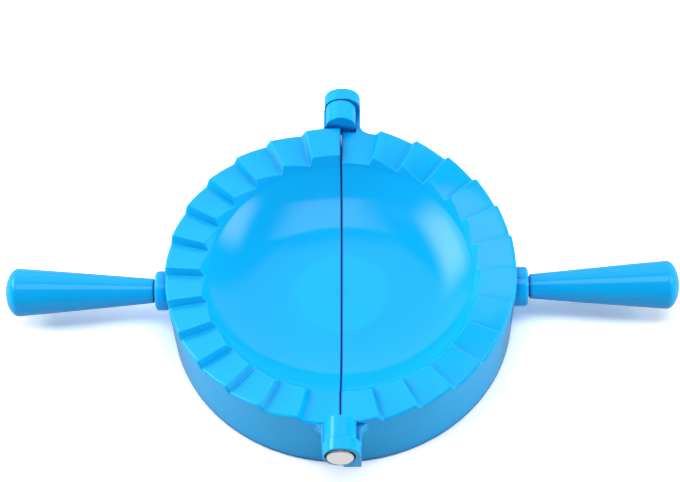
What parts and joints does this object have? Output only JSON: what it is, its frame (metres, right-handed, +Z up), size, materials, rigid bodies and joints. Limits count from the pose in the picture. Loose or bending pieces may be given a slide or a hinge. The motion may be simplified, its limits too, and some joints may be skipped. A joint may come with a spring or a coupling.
{
  "type": "dumpling press",
  "caption": "Folding hand press with a shallow round bowl and a stepped crimping rim in hinged halves, each with a tapered handle.",
  "frame": {"origin": "on the table under the middle of the open press, midway between the handles and midway between the hinges", "axes": "+X along the handles, +Y along the hinge line, +Z up out of the bowl"},
  "size_m": [0.232, 0.1466, 0.0351],
  "materials": {
    "blue_plastic": "smooth moulded gloss",
    "pin_steel": "turned and polished"
  },
  "bodies": {
    "left_side": {"left_half": "blue_plastic", "left_handle": "blue_plastic", "front_hinge_pin": "pin_steel", "rear_hinge_pin": "pin_steel"},
    "right_side": {"right_half": "blue_plastic", "right_handle": "blue_plastic"}
  },
  "joints": [
    {"name": "fold", "type": "hinge", "parent": "left_side", "child": "right_side", "pos_m": [0, 0, 0.0292], "axis": [0, -1, 0], "range_deg": [0, 180]}
  ]
}
